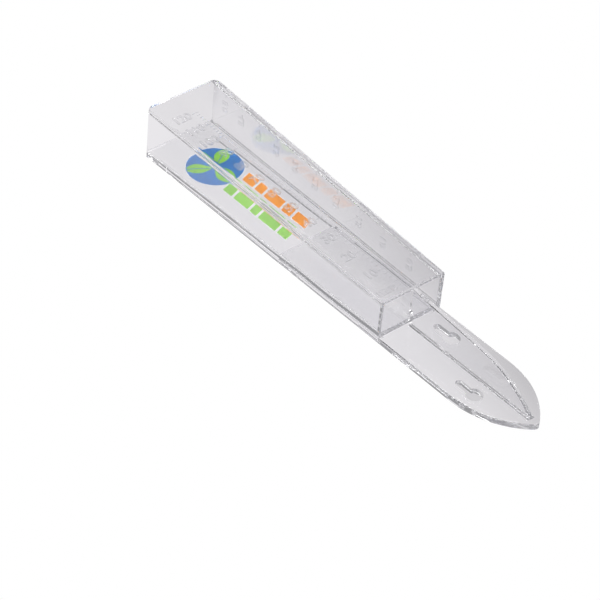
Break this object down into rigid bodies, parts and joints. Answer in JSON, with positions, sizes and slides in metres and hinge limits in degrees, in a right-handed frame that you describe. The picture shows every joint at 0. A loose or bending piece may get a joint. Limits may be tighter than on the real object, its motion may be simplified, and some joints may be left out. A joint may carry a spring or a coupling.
{
  "type": "manual rain gauge",
  "caption": "Clear tapered rain gauge cup with raised scales, which slides off a pointed T-section stake with keyholes for a post or fence.",
  "frame": {"origin": "middle of the footprint, on the plane that the gauge lies on, back down", "axes": "+X along the gauge from the cup's mouth to the stake's point, +Z out of the back's plane towards the front wall, +Y towards the inch scale's side wall. In use +X points down."},
  "size_m": [0.2624, 0.0461, 0.0321],
  "materials": {
    "clear_styrene_cup": "clear injection-moulded polystyrene, glossy",
    "clear_styrene_stake": "clear injection-moulded polystyrene, glossy",
    "raised_marks": "raised clear polystyrene, slightly frosted",
    "blue_ink": "pad-printed blue ink, satin",
    "green_ink": "pad-printed green ink, satin",
    "orange_ink": "pad-printed orange ink, satin"
  },
  "bodies": {
    "stake": {"mounting_stake": "clear_styrene_stake"},
    "cup": {"measuring_cup": "clear_styrene_cup", "inch_scale": "raised_marks", "millimetre_scale": "raised_marks", "blue_ink": "blue_ink", "green_ink": "green_ink", "orange_ink": "orange_ink"}
  },
  "joints": [
    {"name": "cup_slide", "type": "slide", "parent": "stake", "child": "cup", "axis": [-1, 0, 0], "range_m": [0, 0.08]}
  ]
}
